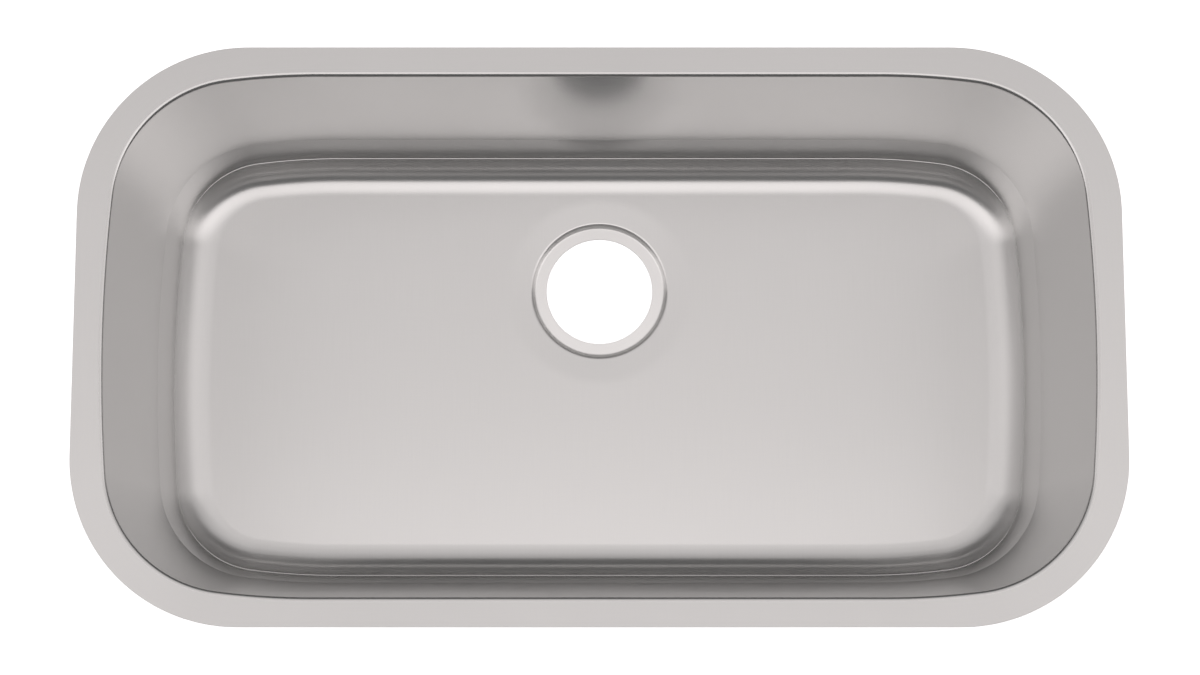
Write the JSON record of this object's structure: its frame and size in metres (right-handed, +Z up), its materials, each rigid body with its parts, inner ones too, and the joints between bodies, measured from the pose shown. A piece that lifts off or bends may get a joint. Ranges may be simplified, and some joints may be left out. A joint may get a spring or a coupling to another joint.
{
  "type": "undermount kitchen sink",
  "caption": "Single-bowl undermount kitchen sink: a flat flange with large rounded corners round a deep drafted bowl, with a level floor that dips to a recessed drain hole towards the back.",
  "frame": {"origin": "centre of the flange's top face, the plane that meets the underside of the worktop", "axes": "+X along the long side, to the right seen from the front; +Y to the back, where the drain is; +Z up"},
  "size_m": [0.8128, 0.4528, 0.2078],
  "materials": {
    "stainless_sheet": "brushed, satin; sprayed grey on the outside of the bowl, short of the flange",
    "sound_pad": "moulded, matt black"
  },
  "bodies": {
    "root": {"bowl": "stainless_sheet", "floor_pad_left": "sound_pad", "floor_pad_right": "sound_pad", "floor_pad_front": "sound_pad", "wall_pad_front": "sound_pad", "wall_pad_back": "sound_pad", "wall_pad_left": "sound_pad", "wall_pad_right": "sound_pad"}
  },
  "joints": []
}
